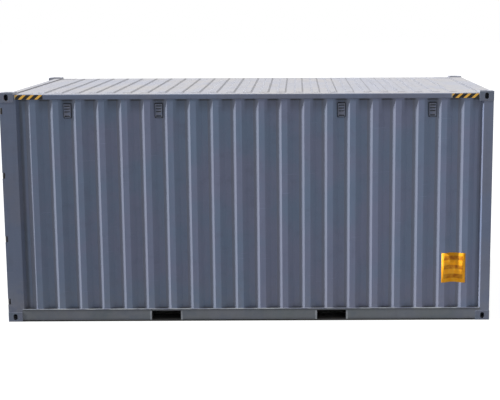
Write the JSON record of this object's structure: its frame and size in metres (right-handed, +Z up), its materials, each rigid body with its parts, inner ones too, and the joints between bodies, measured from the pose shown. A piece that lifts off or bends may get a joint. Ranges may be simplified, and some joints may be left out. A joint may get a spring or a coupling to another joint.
{
  "type": "dry freight shipping container",
  "caption": "High-cube dry freight container with corrugated steel walls, corner castings, fork pockets and a pair of hinged end doors with lock rods.",
  "frame": {"origin": "on the ground under the middle of the container", "axes": "+X from the doors towards the closed front wall, +Y towards the left side seen from the doors, +Z up; the pictured side is -Y"},
  "size_m": [6.058, 2.438, 2.896],
  "materials": {
    "wall_paint": "slate blue container paint, satin, worn",
    "frame_paint": "slate blue frame paint, satin, scuffed",
    "roof_paint": "pale roof paint, weathered",
    "cast_steel": "painted cast steel, chipped and rusty at the holes",
    "zinc_steel": "galvanised, dull",
    "hinge_steel": "dark coated forged steel, greasy at the pins",
    "door_rubber": "matt black",
    "vent_plastic": "matt grey moulding",
    "plywood": "worn marine plywood",
    "underframe_coat": "black bituminous underseal"
  },
  "bodies": {
    "box": {"corner_castings_bottom": "cast_steel", "corner_castings_top": "cast_steel", "right_bottom_side_rail": "frame_paint", "left_bottom_side_rail": "frame_paint", "right_top_side_rail": "frame_paint", "left_top_side_rail": "frame_paint", "right_side_wall": "wall_paint", "left_side_wall": "wall_paint", "right_front_post": "frame_paint", "left_front_post": "frame_paint", "right_rear_post": "frame_paint", "left_rear_post": "frame_paint", "right_side_vents": "vent_plastic", "left_side_vents": "vent_plastic", "right_hinge_lugs": "frame_paint", "left_hinge_lugs": "frame_paint", "front_wall": "wall_paint", "front_bottom_rail": "frame_paint", "front_top_rail": "frame_paint", "rear_post_channels": "frame_paint", "door_sill": "frame_paint", "door_header": "frame_paint", "cross_members": "underframe_coat", "fork_pocket_plates": "underframe_coat", "floor_boards": "plywood", "roof_panel": "roof_paint", "roof_end_plates": "roof_paint", "hinge_pins": "zinc_steel", "cam_keepers": "zinc_steel"},
    "right_door": {"right_door_frame": "wall_paint", "right_door_panel": "wall_paint", "right_door_gasket": "door_rubber", "right_hinge_blades": "hinge_steel", "right_lock_rods": "zinc_steel", "right_rod_guides": "zinc_steel", "right_rod_handles": "zinc_steel", "right_handle_catches": "zinc_steel"},
    "left_door": {"left_door_frame": "wall_paint", "left_door_panel": "wall_paint", "left_door_gasket": "door_rubber", "left_hinge_blades": "hinge_steel", "left_lock_rods": "zinc_steel", "left_rod_guides": "zinc_steel", "left_rod_handles": "zinc_steel", "left_handle_catches": "zinc_steel"}
  },
  "joints": [
    {"name": "right_door_hinge", "type": "hinge", "parent": "box", "child": "right_door", "pos_m": [-3.012, -1.199, 0], "axis": [0, 0, 1], "range_deg": [0, 270]},
    {"name": "left_door_hinge", "type": "hinge", "parent": "box", "child": "left_door", "pos_m": [-3.012, 1.199, 0], "axis": [0, 0, -1], "range_deg": [0, 270]}
  ]
}
